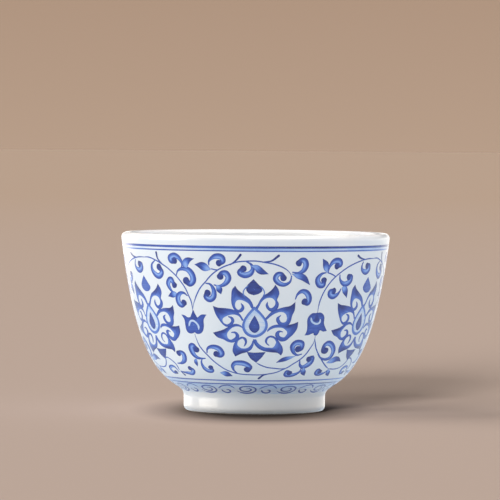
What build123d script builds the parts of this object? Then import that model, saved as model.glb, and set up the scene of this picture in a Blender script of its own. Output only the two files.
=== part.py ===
from build123d import *
import os
from math import cos, radians, sin

# A blue and white porcelain teacup: a round bowl on a straight foot ring.
# Everything is turned about +Z. The origin is the centre of the circle that the foot rests on.
# Sizes are in millimetres, and a section point is written (radius, height).

# Overall
rim_radius = 42.5
total_height = 56.5
foot_radius = 22.4

# Lip: a half round at the top of the wall
lip_thickness = 3.2
lip_outer_lean = 83.1      # angle of the outer wall from level where it meets the lip
lip_inner_lean = 83.8      # the same for the inner wall

# Wall: one smooth curve each side, set by how far it keeps its end directions
flare_angle = 36.0         # angle of the bowl's underside from level where it leaves the foot
outer_low_reach = 5.85
outer_high_reach = 41.6
floor_height = 9.2
floor_reach = 18.3
inner_high_reach = 55.4

# Foot ring
foot_inner_radius = 18.6
foot_joint_height = 5.7    # the ring is luted to the flat underside of the bowl here
foot_wall_top = 4.8        # the straight wall ends and the hollow fillet starts
foot_fillet = 3.0
foot_outer_round = 1.8
foot_inner_round = 0.8
glaze_line_angle = 35.0    # the foot is wiped bare below this angle on both roundings

# Glaze
glaze = 0.3
base_glaze_fillet = 1.8    # glaze pooled in the corner under the base

# Painted bands, as bottom and top heights. Cobalt sinks through the glaze as it melts,
# so each band is a ring of blue glaze of the full glaze thickness.
bands = {
    "rim_line_thick": (52.50, 53.20),
    "rim_wash": (51.88, 52.50),
    "rim_line_thin": (51.50, 51.88),
    "base_line_upper": (10.80, 11.15),
    "base_wash": (10.00, 10.80),
    "base_line_lower": (9.65, 10.00),
    "foot_border": (6.50, 9.65),
}

lip_round = lip_thickness / 2
lip_centre = (rim_radius - lip_round, total_height - lip_round)
fillet_centre = (foot_radius + foot_fillet, foot_wall_top)
fillet_turn = 90 - flare_angle
outer_round_centre = (foot_radius - foot_outer_round, foot_outer_round)
inner_round_centre = (foot_inner_radius + foot_inner_round, foot_inner_round)
border_bottom, border_top = bands["foot_border"]


def at(radius, height):
    return Vector(radius, 0, height)


def on_circle(centre, radius, angle):
    """Point of a circle in the section; the angle is from straight out, towards up."""
    return at(centre[0] + radius * cos(radians(angle)), centre[1] + radius * sin(radians(angle)))


def arc(centre, radius, start, end):
    middle = (start + end) / 2
    return ThreePointArc(*(on_circle(centre, radius, angle) for angle in (start, middle, end)))


def direction(angle):
    return Vector(cos(radians(angle)), 0, sin(radians(angle)))


def outer_wall(inset):
    """Outside of the wall from the foot fillet up to the lip, moved in by the inset."""
    low = on_circle(fillet_centre, foot_fillet + inset, 180 - fillet_turn)
    high = on_circle(lip_centre, lip_round - inset, lip_outer_lean - 90)
    low_handle = low + direction(flare_angle) * (outer_low_reach - inset / 4)
    high_handle = high - direction(lip_outer_lean) * (outer_high_reach - inset / 4)
    return Bezier(low, low_handle, high_handle, high)


def inner_wall(inset):
    """Inside of the wall from the lip down to the middle of the floor, moved in by the inset."""
    high = on_circle(lip_centre, lip_round - inset, 270 - lip_inner_lean)
    high_handle = high - direction(lip_inner_lean) * (inner_high_reach - inset / 4)
    floor = floor_height - inset
    return Bezier(high, high_handle, at(floor_reach, floor), at(0, floor))


def lip(inset):
    return arc(lip_centre, lip_round - inset, lip_outer_lean - 90, 270 - lip_inner_lean)


def solid_of(*edges):
    return revolve(make_face(Curve() + list(edges)), Axis.Z)


def joint_point(inset):
    """Where the outside of the foot fillet crosses the height of the foot joint."""
    rise = foot_joint_height - foot_wall_top
    return at(fillet_centre[0] - ((foot_fillet + inset) ** 2 - rise ** 2) ** 0.5, foot_joint_height)


def fillet_between(low, high, inset):
    """Piece of the hollow fillet between two points, both on it."""
    centre = at(*fillet_centre)
    chord_middle = (low + high) / 2
    middle = centre + (chord_middle - centre).normalized() * (foot_fillet + inset)
    return ThreePointArc(low, middle, high)


def make_bowl():
    """Porcelain wall, floor and lip, with a flat underside for the foot ring."""
    outside = outer_wall(glaze)
    joint = joint_point(glaze)
    fillet = fillet_between(joint, outside @ 0, glaze)
    inside = inner_wall(glaze)
    underside = Line(at(0, foot_joint_height), joint)
    axis = Line(inside @ 1, at(0, foot_joint_height))
    return solid_of(underside, fillet, outside, lip(glaze), inside, axis)


def make_foot_ring():
    """Porcelain ring under the bowl, wiped bare where it rests."""
    joint = joint_point(glaze)
    bare_inner = arc(inner_round_centre, foot_inner_round, 270 - glaze_line_angle, 270)
    bare_outer = arc(outer_round_centre, foot_outer_round, 270, 270 + glaze_line_angle)
    coated_inner = arc(inner_round_centre, foot_inner_round - glaze, 180, 270 - glaze_line_angle)
    coated_outer = arc(outer_round_centre, foot_outer_round - glaze, 270 + glaze_line_angle, 360)
    wall_end = at(foot_radius - glaze, foot_wall_top)
    inner_end = at(foot_inner_radius + glaze, foot_joint_height)
    return solid_of(
        bare_inner,
        Line(bare_inner @ 1, bare_outer @ 0),
        bare_outer,
        Line(bare_outer @ 1, coated_outer @ 0),
        coated_outer,
        Line(coated_outer @ 1, wall_end),
        fillet_between(wall_end, joint, glaze),
        Line(joint, inner_end),
        Line(inner_end, coated_inner @ 0),
        coated_inner,
        Line(coated_inner @ 1, bare_inner @ 0),
    )


def outside_coat():
    """Section of the whole glaze coat on the outside, from the wiped foot up to the lip's crest."""
    skin, back = outer_wall(0), outer_wall(glaze)
    skin_fillet = fillet_between(at(foot_radius, foot_wall_top), skin @ 0, 0)
    back_wall_end = at(foot_radius - glaze, foot_wall_top)
    back_fillet = fillet_between(back_wall_end, back @ 0, glaze)
    skin_round = arc(outer_round_centre, foot_outer_round, 270 + glaze_line_angle, 360)
    back_round = arc(outer_round_centre, foot_outer_round - glaze, 270 + glaze_line_angle, 360)
    skin_lip = arc(lip_centre, lip_round, lip_outer_lean - 90, 90)
    back_lip = arc(lip_centre, lip_round - glaze, lip_outer_lean - 90, 90)
    return make_face(Curve() + [
        skin_round, Line(skin_round @ 1, skin_fillet @ 0), skin_fillet, skin, skin_lip,
        Line(skin_lip @ 1, back_lip @ 1),
        back_lip, back, back_fillet, Line(back_fillet @ 0, back_round @ 1), back_round,
        Line(back_round @ 0, skin_round @ 0),
    ])


def coat_between(bottom, top):
    """Ring of the outside coat between two heights."""
    slab = make_face(Polyline(
        at(0, bottom), at(2 * rim_radius, bottom), at(2 * rim_radius, top), at(0, top), close=True))
    return revolve(outside_coat() & slab, Axis.Z)


def make_liner_glaze():
    """Clear glaze over the floor and the inside of the wall, up to the lip's crest."""
    skin, back = inner_wall(0), inner_wall(glaze)
    skin_lip = arc(lip_centre, lip_round, 90, 270 - lip_inner_lean)
    back_lip = arc(lip_centre, lip_round - glaze, 90, 270 - lip_inner_lean)
    return solid_of(skin_lip, skin, Line(skin @ 1, back @ 1), back, back_lip,
                    Line(back_lip @ 0, skin_lip @ 0))


def make_base_glaze():
    """Clear glaze under the base and down the inside of the foot ring, pooled in the corner."""
    wall, ceiling = foot_inner_radius, foot_joint_height - glaze
    pool_centre = (wall - base_glaze_fillet, ceiling - base_glaze_fillet)
    skin_round = arc(inner_round_centre, foot_inner_round, 180, 270 - glaze_line_angle)
    back_round = arc(inner_round_centre, foot_inner_round - glaze, 180, 270 - glaze_line_angle)
    pool = arc(pool_centre, base_glaze_fillet, 0, 90)
    corner = at(wall + glaze, foot_joint_height)
    middle = at(0, foot_joint_height)
    return solid_of(
        Line(skin_round @ 0, pool @ 0),
        pool,
        Line(pool @ 1, at(0, ceiling)),
        Line(at(0, ceiling), middle),
        Line(middle, corner),
        Line(corner, back_round @ 0),
        back_round,
        Line(back_round @ 1, skin_round @ 1),
        skin_round,
    )


def save(part, name):
    part.label = name
    export_step(part, f"parts/{name}.step")


os.makedirs("parts", exist_ok=True)
save(make_bowl(), "bowl")
save(make_foot_ring(), "foot_ring")
save(make_liner_glaze(), "liner_glaze")
save(make_base_glaze(), "base_glaze")
save(coat_between(bands["rim_line_thick"][1], total_height), "lip_glaze")
save(coat_between(bands["base_line_upper"][1], bands["rim_line_thin"][0]), "wall_glaze")
save(coat_between(0, border_bottom), "foot_glaze")
for name, (bottom, top) in bands.items():
    save(coat_between(bottom, top), name)
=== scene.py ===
from math import cos, log, pi, radians, sin

import bmesh
import bpy
import numpy as np
from mathutils import Euler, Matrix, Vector


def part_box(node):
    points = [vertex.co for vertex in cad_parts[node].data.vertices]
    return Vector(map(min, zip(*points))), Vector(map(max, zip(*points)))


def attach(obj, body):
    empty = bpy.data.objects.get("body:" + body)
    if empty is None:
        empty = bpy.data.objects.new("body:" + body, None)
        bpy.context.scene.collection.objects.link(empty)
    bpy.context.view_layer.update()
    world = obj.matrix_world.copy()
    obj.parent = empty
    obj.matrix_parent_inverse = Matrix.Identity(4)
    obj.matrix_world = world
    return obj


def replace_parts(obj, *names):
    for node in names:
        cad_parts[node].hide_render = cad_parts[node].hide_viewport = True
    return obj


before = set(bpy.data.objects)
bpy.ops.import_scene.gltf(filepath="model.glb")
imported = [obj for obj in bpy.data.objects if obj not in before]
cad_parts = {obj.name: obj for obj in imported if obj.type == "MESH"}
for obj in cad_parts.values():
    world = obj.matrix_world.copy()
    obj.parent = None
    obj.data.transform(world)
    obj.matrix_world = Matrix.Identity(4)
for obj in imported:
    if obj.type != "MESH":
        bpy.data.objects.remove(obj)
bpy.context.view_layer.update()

# Lengths are in millimetres until a mesh is made. A section point is (radius, height).
# A point on the wall is (degrees round the cup, height): 0 degrees faces the front, -Y, and 90 degrees is +X.
MM = 0.001
TURN_STEPS = 384           # steps round the cup of the turned pieces and the painted bands
OUTER_POINTS = 140         # points along the section's long curves
INNER_POINTS = 120

# ---------------------------------------------------------------- the cup's shape

lip_low, lip_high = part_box("lip_glaze")
rim_radius = round(lip_high.x / MM, 1)
total_height = round(lip_high.z / MM, 1)
foot_joint_height = round(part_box("foot_ring")[1].z / MM, 1)

# The other sizes of the section are the same as the CAD model's
lip_round = 1.6
lip_outer_lean = 83.1
lip_inner_lean = 83.8
flare_angle = 36.0
outer_low_reach = 5.85
outer_high_reach = 41.6
floor_height = 9.2
floor_reach = 18.3
inner_high_reach = 55.4
foot_radius = 22.4
foot_inner_radius = 18.6
foot_wall_top = 4.8
foot_fillet = 3.0
foot_outer_round = 1.8
foot_inner_round = 0.8
glaze_line_angle = 35.0
glaze = 0.3
base_glaze_fillet = 1.8

lip_centre = (rim_radius - lip_round, total_height - lip_round)
fillet_centre = (foot_radius + foot_fillet, foot_wall_top)
outer_round_centre = (foot_radius - foot_outer_round, foot_outer_round)
inner_round_centre = (foot_inner_radius + foot_inner_round, foot_inner_round)
pool_centre = (foot_inner_radius - base_glaze_fillet, foot_joint_height - glaze - base_glaze_fillet)


def on_circle(centre, radius, angle):
    return (centre[0] + radius * cos(radians(angle)), centre[1] + radius * sin(radians(angle)))


def arc(centre, radius, start, end, count):
    return [on_circle(centre, radius, a) for a in np.linspace(start, end, count)]


def bezier(start, start_handle, end_handle, end, count):
    t = np.linspace(0, 1, count)[:, None]
    p, q, r, s = (np.array(point) for point in (start, start_handle, end_handle, end))
    curve = (1 - t) ** 3 * p + 3 * (1 - t) ** 2 * t * q + 3 * (1 - t) * t * t * r + t ** 3 * s
    return [tuple(point) for point in curve]


def outer_wall():
    low = on_circle(fillet_centre, foot_fillet, 90 + flare_angle)
    high = on_circle(lip_centre, lip_round, lip_outer_lean - 90)
    low_handle = on_circle(low, outer_low_reach, flare_angle)
    high_handle = on_circle(high, outer_high_reach, lip_outer_lean + 180)
    return bezier(low, low_handle, high_handle, high, OUTER_POINTS)


def inner_wall():
    high = on_circle(lip_centre, lip_round, 270 - lip_inner_lean)
    high_handle = on_circle(high, inner_high_reach, lip_inner_lean + 180)
    return bezier(high, high_handle, (floor_reach, floor_height), (0, floor_height), INNER_POINTS)


def outside_profile():
    """Glazed outside, from the wiped edge of the foot up to the lip's crest."""
    points = arc(outer_round_centre, foot_outer_round, 270 + glaze_line_angle, 360, 12)
    points += [(foot_radius, z) for z in np.linspace(foot_outer_round, foot_wall_top, 6)[1:-1]]
    points += arc(fillet_centre, foot_fillet, 180, 90 + flare_angle, 16)
    points += outer_wall()[1:]
    points += arc(lip_centre, lip_round, lip_outer_lean - 90, 90, 18)[1:]
    return points


def inside_profile():
    """Glazed inside, from the lip's crest down to the middle of the floor."""
    return arc(lip_centre, lip_round, 90, 270 - lip_inner_lean, 18) + inner_wall()[1:]


def base_profile():
    """Glazed recess, from its middle out and down to the wiped edge of the foot."""
    ceiling = foot_joint_height - glaze
    points = [(r, ceiling) for r in np.linspace(0, pool_centre[0], 24)]
    points += arc(pool_centre, base_glaze_fillet, 90, 0, 14)[1:]
    points += arc(inner_round_centre, foot_inner_round, 180, 270 - glaze_line_angle, 8)
    return points


def bare_profile():
    """Unglazed rim that the cup stands on, from its outer edge to its inner edge."""
    points = arc(outer_round_centre, foot_outer_round, 270 + glaze_line_angle, 270, 8)
    points += [(r, 0.0) for r in np.linspace(outer_round_centre[0], inner_round_centre[0], 5)[1:-1]]
    points += arc(inner_round_centre, foot_inner_round, 270, 270 - glaze_line_angle, 5)
    return points


OUTSIDE = np.array(outside_profile())
OUTSIDE_SLOPE = np.gradient(OUTSIDE, axis=0)
OUTSIDE_SLOPE /= np.linalg.norm(OUTSIDE_SLOPE, axis=1)[:, None]


def wall_radius(height):
    return np.interp(height, OUTSIDE[:, 1], OUTSIDE[:, 0])


def on_wall(angle, height, lift):
    """Point above the outside surface, in metres; the arguments may be arrays."""
    slope_r = np.interp(height, OUTSIDE[:, 1], OUTSIDE_SLOPE[:, 0])
    slope_z = np.interp(height, OUTSIDE[:, 1], OUTSIDE_SLOPE[:, 1])
    radius = wall_radius(height) + lift * slope_z
    turn = np.radians(angle)
    return np.stack([radius * np.sin(turn), -radius * np.cos(turn), height - lift * slope_r], -1) * MM


# ---------------------------------------------------------------- making meshes


def new_piece(name, points, faces, material):
    mesh = bpy.data.meshes.new(name)
    mesh.from_pydata([tuple(map(float, p)) for p in points], [], faces)
    mesh.validate()
    piece = bpy.data.objects.new(name, mesh)
    bpy.context.scene.collection.objects.link(piece)
    mesh.materials.append(material)
    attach(piece, "root")
    return piece


def face_outwards(piece):
    work = bmesh.new()
    work.from_mesh(piece.data)
    bmesh.ops.recalc_face_normals(work, faces=work.faces)
    work.to_mesh(piece.data)
    work.free()
    piece.data.shade_smooth()


def turned(name, profile, material):
    """Solid of revolution from a section; an open section has its ends on the axis."""
    closed = profile[0][0] > 1e-6
    points, rings, faces = [], [], []
    for radius, height in profile:
        if radius < 1e-6:
            rings.append([len(points)])
            points.append((0, 0, height * MM))
            continue
        rings.append(list(range(len(points), len(points) + TURN_STEPS)))
        for step in range(TURN_STEPS):
            turn = 2 * pi * step / TURN_STEPS
            points.append((radius * sin(turn) * MM, -radius * cos(turn) * MM, height * MM))
    pairs = list(zip(rings, rings[1:])) + ([(rings[-1], rings[0])] if closed else [])
    for lower, upper in pairs:
        for step in range(TURN_STEPS):
            after = (step + 1) % TURN_STEPS
            if len(lower) == 1:
                faces.append((lower[0], upper[after], upper[step]))
            elif len(upper) == 1:
                faces.append((lower[step], lower[after], upper[0]))
            else:
                faces.append((lower[step], lower[after], upper[after], upper[step]))
    piece = new_piece(name, points, faces, material)
    face_outwards(piece)
    return piece


# ---------------------------------------------------------------- materials


class Look:
    """The nodes of a material or of the world."""

    def __init__(self, tree):
        self.nodes = tree.nodes
        self.links = tree.links

    def add(self, kind, *values, **settings):
        """New node's outputs; each value is a number, a vector or another node's output."""
        node = self.nodes.new("ShaderNode" + kind)
        for setting, value in settings.items():
            setattr(node, setting, value)
        for socket, value in zip(node.inputs, values):
            self.feed(socket, value)
        return node.outputs

    def feed(self, socket, value):
        """Link an output to the socket, or set the socket to a number, vector or colour."""
        if isinstance(value, bpy.types.NodeSocket):
            self.links.new(value, socket)
        else:
            socket.default_value = value

    def set(self, node, **values):
        """Feed a node's sockets by name, with _ for each space."""
        for name, value in values.items():
            self.feed(node.inputs[name.replace("_", " ")], value)

    def place(self):
        return self.add("TexCoord")["Object"]

    def along(self, axis, vector):
        return self.add("SeparateXYZ", vector)[axis]

    def noise(self, scale, detail=2.0, roughness=0.5, vector=None):
        node = self.nodes.new("ShaderNodeTexNoise")
        self.set(node, Scale=scale, Detail=detail, Roughness=roughness, Vector=vector or self.place())
        return node.outputs["Fac"]

    def ramp(self, value, stops):
        node = self.nodes.new("ShaderNodeValToRGB")
        elements = node.color_ramp.elements
        while len(elements) < len(stops):
            elements.new(0.5)
        for element, (position, colour) in zip(elements, stops):
            element.position = position
            element.color = (*colour, 1)
        self.feed(node.inputs["Fac"], value)
        return node.outputs["Color"]

    def share(self, value, start, end):
        """How far a value is on the way from the start to the end, from 0 to 1."""
        return self.add("MapRange", value, start, end)["Result"]

    def bump(self, height, strength, distance):
        node = self.nodes.new("ShaderNodeBump")
        self.set(node, Strength=strength, Distance=distance, Height=height)
        return node.outputs["Normal"]


def new_look(name):
    """New material, its look and its shader."""
    material = bpy.data.materials.new(name)
    material.use_nodes = True
    return material, Look(material.node_tree), material.node_tree.nodes["Principled BSDF"]


GLAZE_WHITE = (0.80, 0.826, 0.850)
GLAZE_DEEP = (0.74, 0.79, 0.85)
BISCUIT_DARK = (0.62, 0.55, 0.46)
BISCUIT_LIGHT = (0.78, 0.74, 0.67)


def glaze_shine(look, shader):
    look.set(shader, Roughness=0.22, IOR=1.5, Coat_Weight=0.6, Coat_Roughness=0.06)


def glazed_porcelain():
    material, look, shader = new_look("clear_glaze_on_porcelain")
    tone = look.ramp(look.noise(40, 3.0), [(0.3, GLAZE_DEEP), (0.6, GLAZE_WHITE)])
    glaze_shine(look, shader)
    look.set(shader, Base_Color=tone, Normal=look.bump(look.noise(160), 0.05, 0.0005))
    return material


def bare_porcelain():
    material, look, shader = new_look("bare_porcelain")
    grit = look.noise(1800, 6.0, 0.7)
    tone = look.ramp(grit, [(0.3, BISCUIT_DARK), (0.6, BISCUIT_LIGHT)])
    look.set(shader, Base_Color=tone, Roughness=0.75, Normal=look.bump(grit, 0.4, 0.0001))
    return material


# Colours of the cobalt under the glaze, from bare glaze to the darkest pool, as (depth of ink, colour)
COBALT = [(0.0, (0.76, 0.80, 0.86)), (0.2, (0.39, 0.56, 0.86)), (0.5, (0.125, 0.250, 0.69)),
          (0.75, (0.036, 0.088, 0.43)), (1.0, (0.011, 0.019, 0.18))]
BRUSH_HAIRS = (0.25, 2.2, 1.0)     # streaks to a millimetre along and across a stroke


def cobalt_paint():
    """Cobalt under the glaze: the ink of each stroke, uneven along the hairs of the brush."""
    material, look, shader = new_look("cobalt_under_glaze")
    brush = look.add("Attribute", attribute_name="brush")["Vector"]
    under_brush = look.add("VectorMath", brush, BRUSH_HAIRS, operation="MULTIPLY")["Vector"]
    streaks = look.noise(1.0, 3.0, 0.6, under_brush)
    uneven = look.add("Math", streaks, 0.36, -0.18, operation="MULTIPLY_ADD")["Value"]
    ink = look.add("Attribute", attribute_name="ink")["Fac"]
    depth = look.add("Math", ink, uneven, operation="ADD")["Value"]
    glaze_shine(look, shader)
    look.set(shader, Base_Color=look.ramp(depth, COBALT))
    return material


# ---------------------------------------------------------------- the cup's body

porcelain = glazed_porcelain()
biscuit = bare_porcelain()
GLAZED_CLOSE = 0.8         # heights inside the foot at which the two pieces are closed off
BARE_CLOSE = 0.75


def make_porcelain():
    """The glazed cup: everything but the wiped rim of the foot."""
    hidden = [(r, GLAZED_CLOSE) for r in (inner_round_centre[0], outer_round_centre[0])]
    profile = base_profile() + hidden + outside_profile() + inside_profile()[1:]
    cup = turned("porcelain_cup", profile, porcelain)
    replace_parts(cup, "bowl", "liner_glaze", "lip_glaze", "wall_glaze", "foot_glaze", "base_glaze")


def make_bare_rim():
    """The unglazed rim of the foot, closed off above by a flat ring inside the glazed cup."""
    back = [(inner_round_centre[0] - 0.1, BARE_CLOSE), (outer_round_centre[0] + 0.3, BARE_CLOSE)]
    rim = turned("bare_foot_rim", bare_profile() + back, biscuit)
    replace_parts(rim, "foot_ring")


make_porcelain()
make_bare_rim()

# ---------------------------------------------------------------- brushwork
#
# The cup is painted in cobalt under the glaze. Each stroke is a thin closed solid on the wall, a few
# hundredths of a millimetre high. Every point of it carries its depth of colour, ink, from 0 for none to 1
# for the darkest. What an ink function gives is spread over whatever it leaves out, along or across.

WASH_LIFT = 0.008          # how far each kind of stroke stands off the wall
FILL_LIFT = 0.014
LINE_LIFT = 0.030
BURIED = -0.012            # its underside is inside the wall
STROKE_RISE = 0.006        # a stroke's end stands this much higher than its start
PETAL_RISE = 0.008
ROW_SPACING = 0.28         # rows along a stroke
THINNEST = 0.02            # least half width
BRUSH_APART = 7.3          # keeps the streaks of two strokes from looking alike


def mixed(first, second, start, end, t):
    return ((end - t) * first + (t - start) * second) / (end - start)


def curve_through(points, steps):
    """Centripetal Catmull-Rom curve through the points, with this many steps from each to the next."""
    p = np.array(points, float)
    p = np.vstack([2 * p[0] - p[1], p, 2 * p[-1] - p[-2]])
    knots = np.concatenate([[0], np.cumsum(np.linalg.norm(np.diff(p, axis=0), axis=1) ** 0.5)])
    curve = [p[1:2]]
    for i in range(1, len(p) - 2):
        a, b, c, d = knots[i - 1:i + 3]
        t = np.linspace(b, c, steps + 1)[1:, None]
        first, second, third = (mixed(p[k - 1], p[k], knots[k - 1], knots[k], t) for k in range(i, i + 3))
        left = mixed(first, second, a, c, t)
        right = mixed(second, third, b, d, t)
        curve.append(mixed(left, right, b, c, t))
    return np.vstack(curve)


def curve_with_corners(runs, steps):
    """Smooth runs joined at corners; each run starts where the one before it ends."""
    curves = [curve_through(run, steps) for run in runs]
    return np.vstack([curves[0]] + [curve[1:] for curve in curves[1:]])


def wall_scale(height):
    """Millimetres on the wall for one degree round the cup, and for one millimetre of height."""
    slope_z = np.interp(height, OUTSIDE[:, 1], OUTSIDE_SLOPE[:, 1])
    return np.stack([wall_radius(height) * pi / 180, 1 / slope_z], -1)


def placed(centre, points):
    """Wall points of a motif drawn in millimetres across and up from its centre."""
    points = np.asarray(points, float)
    height = centre[1] + points[..., 1]
    return np.stack([centre[0] + np.degrees(points[..., 0] / wall_radius(height)), height], -1)


def bell(x, centre, width):
    return np.exp(-((x - centre) / width) ** 2)


def step_up(x, start, end):
    t = np.clip((x - start) / (end - start), 0, 1)
    return t * t * (3 - 2 * t)


class Grid:
    """Rows along a stroke and columns across it; wraps says that the last row joins the first."""

    def __init__(self, places, ink, brush, lift, wraps=False):
        self.places = places
        self.ink = np.clip(np.broadcast_to(ink, places.shape[:2]), 0, 1)
        self.brush = brush
        self.lift = np.broadcast_to(lift, places.shape[:2])
        self.wraps = wraps

    def faces(self, first):
        """Quads of the closed solid; its top is numbered from first, and its bottom after that."""
        rows, columns = self.places.shape[:2]
        number = np.arange(rows * columns).reshape(rows, columns)
        if self.wraps:
            number = np.vstack([number, number[:1]])
        a, b, c, d = number[:-1, :-1], number[1:, :-1], number[1:, 1:], number[:-1, 1:]
        top = np.stack([a, b, c, d], -1).reshape(-1, 4)
        below = rows * columns
        edges = [number[:-1, 0:1], number[1:, 0:1], number[1:, -1:], number[:-1, -1:]]
        sides = [np.stack([edges[1], edges[0], edges[0] + below, edges[1] + below], -1).reshape(-1, 4),
                 np.stack([edges[3], edges[2], edges[2] + below, edges[3] + below], -1).reshape(-1, 4)]
        if not self.wraps:
            for row, turn in ((number[0], 1), (number[-1], -1)):
                row = row[::turn]
                sides.append(np.stack([row[:-1], row[1:], row[1:] + below, row[:-1] + below], -1))
        quads = np.vstack([top, top[:, ::-1] + below] + sides)
        x, y = self.places[..., 0], self.places[..., 1]
        turned_area = ((x[1:, 1:] - x[:-1, :-1]) * (y[:-1, 1:] - y[1:, :-1])
                       - (x[:-1, 1:] - x[1:, :-1]) * (y[1:, 1:] - y[:-1, :-1]))
        if np.sum(turned_area) < 0:
            quads = quads[:, ::-1]
        return quads + first

    def points(self):
        angle, height = self.places[..., 0].ravel(), self.places[..., 1].ravel()
        return np.vstack([on_wall(angle, height, self.lift.ravel()), on_wall(angle, height, BURIED)])

    def normals(self):
        angle, height = self.places[..., 0].ravel(), self.places[..., 1].ravel()
        out = on_wall(angle, height, 1.0) - on_wall(angle, height, 0.0)
        out /= np.linalg.norm(out, axis=1)[:, None]
        return np.vstack([out, -out])


def painted_piece(name, grids):
    """One piece from many strokes, with their ink and their brush direction for the material."""
    points, faces, normals, ink, brush = [], [], [], [], []
    count = 0
    for grid in grids:
        faces += grid.faces(count).tolist()
        points.append(grid.points())
        normals.append(grid.normals())
        ink.append(np.tile(grid.ink.ravel(), 2))
        brush.append(np.tile(grid.brush.reshape(-1, 3), (2, 1)))
        count += len(points[-1])
    mesh = bpy.data.meshes.new(name)
    mesh.from_pydata(np.vstack(points).tolist(), [], faces)
    piece = bpy.data.objects.new(name, mesh)
    bpy.context.scene.collection.objects.link(piece)
    mesh.materials.append(cobalt)
    mesh.attributes.new("ink", "FLOAT", "POINT").data.foreach_set("value", np.concatenate(ink))
    mesh.attributes.new("brush", "FLOAT_VECTOR", "POINT").data.foreach_set("vector", np.vstack(brush).ravel())
    mesh.shade_smooth()
    mesh.normals_split_custom_set_from_vertices(np.vstack(normals).tolist())
    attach(piece, "root")
    return piece


def brush_marks(along, across, seed):
    """Where each point lies under the brush, in millimetres; the seed tells strokes apart."""
    along, across = np.broadcast_arrays(along, across)
    return np.stack([along, across, np.full(along.shape, BRUSH_APART * seed)], -1)


def stroke(spine, width, ink, lift=LINE_LIFT, columns=5, seed=0, round_end=0.0):
    """Brush stroke along a spine of wall points.

    Width is in millimetres and ink is the colour's depth. Both are functions of how far along the stroke a
    point is, from 0 to 1; ink also takes how far across, from -1 to 1 at the inside of the stroke's bend.
    A round end adds a half disc of that radius.
    """
    line = curve_through(spine, 8)
    scale = wall_scale(line[:, 1])
    pace = np.linalg.norm(np.diff(line, axis=0) * (scale[1:] + scale[:-1]) / 2, axis=1)
    reach = np.concatenate([[0], np.cumsum(pace)])
    if round_end:
        ahead = (line[-1] - line[-2]) / pace[-1] * round_end
        line = np.vstack([line, line[-1] + ahead])
        reach = np.append(reach, reach[-1] + round_end)
    length = reach[-1]
    steps = max(8, int(length / ROW_SPACING))
    s = np.linspace(0, length - round_end, steps + 1)
    if round_end:
        s = np.append(s, length - round_end * (1 - np.sin(np.linspace(0, pi / 2, 7)[1:])))
    middle = np.stack([np.interp(s, reach, line[:, 0]), np.interp(s, reach, line[:, 1])], -1)
    scale = wall_scale(middle[:, 1])
    ahead = np.gradient(middle, axis=0) * scale
    ahead /= np.linalg.norm(ahead, axis=1)[:, None]
    turn = np.sum(ahead[:-1, 0] * ahead[1:, 1] - ahead[:-1, 1] * ahead[1:, 0])
    inside = 1 if turn >= 0 else -1
    sideways = np.stack([-ahead[:, 1], ahead[:, 0]], -1) * inside
    share = s / length
    half = np.maximum(width(share) / 2, THINNEST)
    if round_end:
        over = np.clip((s - (length - round_end)) / round_end, 0, 1)
        half = np.maximum(half * np.sqrt(1 - over ** 2), THINNEST)
    across = np.linspace(-1, 1, columns)
    places = middle[:, None] + across[:, None] * (half[:, None] * sideways / scale)[:, None]
    rising = lift + STROKE_RISE * share[:, None]
    depth = ink(share[:, None], across[None, :])
    return Grid(places, depth, brush_marks(s[:, None], half[:, None] * across, seed), rising)


def ribbon(outer, inner, ink, lift=FILL_LIFT, columns=7, seed=0):
    """Stroke between two rails of wall points; ink takes the share along and the share across, 0 to 1."""
    across = np.linspace(0, 1, columns)[:, None]
    places = outer[:, None] * (1 - across) + inner[:, None] * across
    scale = wall_scale(places[..., 1])
    pace = np.linalg.norm(np.diff((outer + inner) / 2, axis=0) * (scale[1:, 0] + scale[:-1, 0]) / 2, axis=1)
    reach = np.concatenate([[0], np.cumsum(pace)])[:, None]
    spread = np.linalg.norm((places - places[:, :1]) * scale, axis=2)
    share = reach / reach[-1]
    rising = lift + PETAL_RISE * share
    return Grid(places, ink(share, across.T), brush_marks(reach, spread, seed), rising)


def blot(centre, outline, ink, lift=FILL_LIFT, seed=0):
    """Filled shape round a centre that sees all of its outline; ink takes the share out from the centre."""
    outline, centre = np.asarray(outline), np.asarray(centre)
    if np.allclose(outline[0], outline[-1]):
        outline = outline[:-1]
    share = np.array([1.0, 0.9, 0.75, 0.55, 0.3, 0.02])
    places = centre + (outline - centre)[:, None] * share[:, None]
    offset = (places - centre) * wall_scale(places[..., 1])
    return Grid(places, ink(share), brush_marks(offset[..., 0], offset[..., 1], seed), lift, wraps=True)


def band(bottom, top, ink, lift, columns=4, waver=0.0, seed=0):
    """Painted ring round the cup, with edges that waver as a brush on a turning cup does."""
    turns = np.arange(TURN_STEPS) * 360 / TURN_STEPS
    phase = np.radians(turns)
    low, high = (edge + waver * (np.sin(3 * phase + seed + k) + 0.6 * np.sin(7 * phase + 2 * seed + 3 * k))
                 for edge, k in ((bottom, 0), (top, 1.7)))
    across = np.linspace(0, 1, columns)
    heights = low[:, None] * (1 - across) + high[:, None] * across
    places = np.stack([np.broadcast_to(turns[:, None], heights.shape), heights], -1)
    depth = ink(phase[:, None], across[None, :])
    return Grid(places, depth, brush_marks(0.6 * turns[:, None], heights, seed), lift, wraps=True)


def flat_ink(depth):
    return lambda share, across: depth


def pooled(middle, gain, power=1):
    """Ink of a blot, deeper by the gain at its edge than in its middle."""
    return lambda share: middle + gain * share ** power


def thin(width):
    """Even line that the brush starts and leaves in a point."""
    return lambda share: width * (0.35 + 0.65 * step_up(share, 0, 0.12) * step_up(1 - share, 0, 0.12))


# ---------------------------------------------------------------- the painted scroll
#
# One lotus scroll, painted three times round the cup: a lotus, a bud each side of it, and half of the next
# lotus at each end, joined by a vine with curled leaves. Panel places are (degrees from the middle lotus,
# height).

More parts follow.
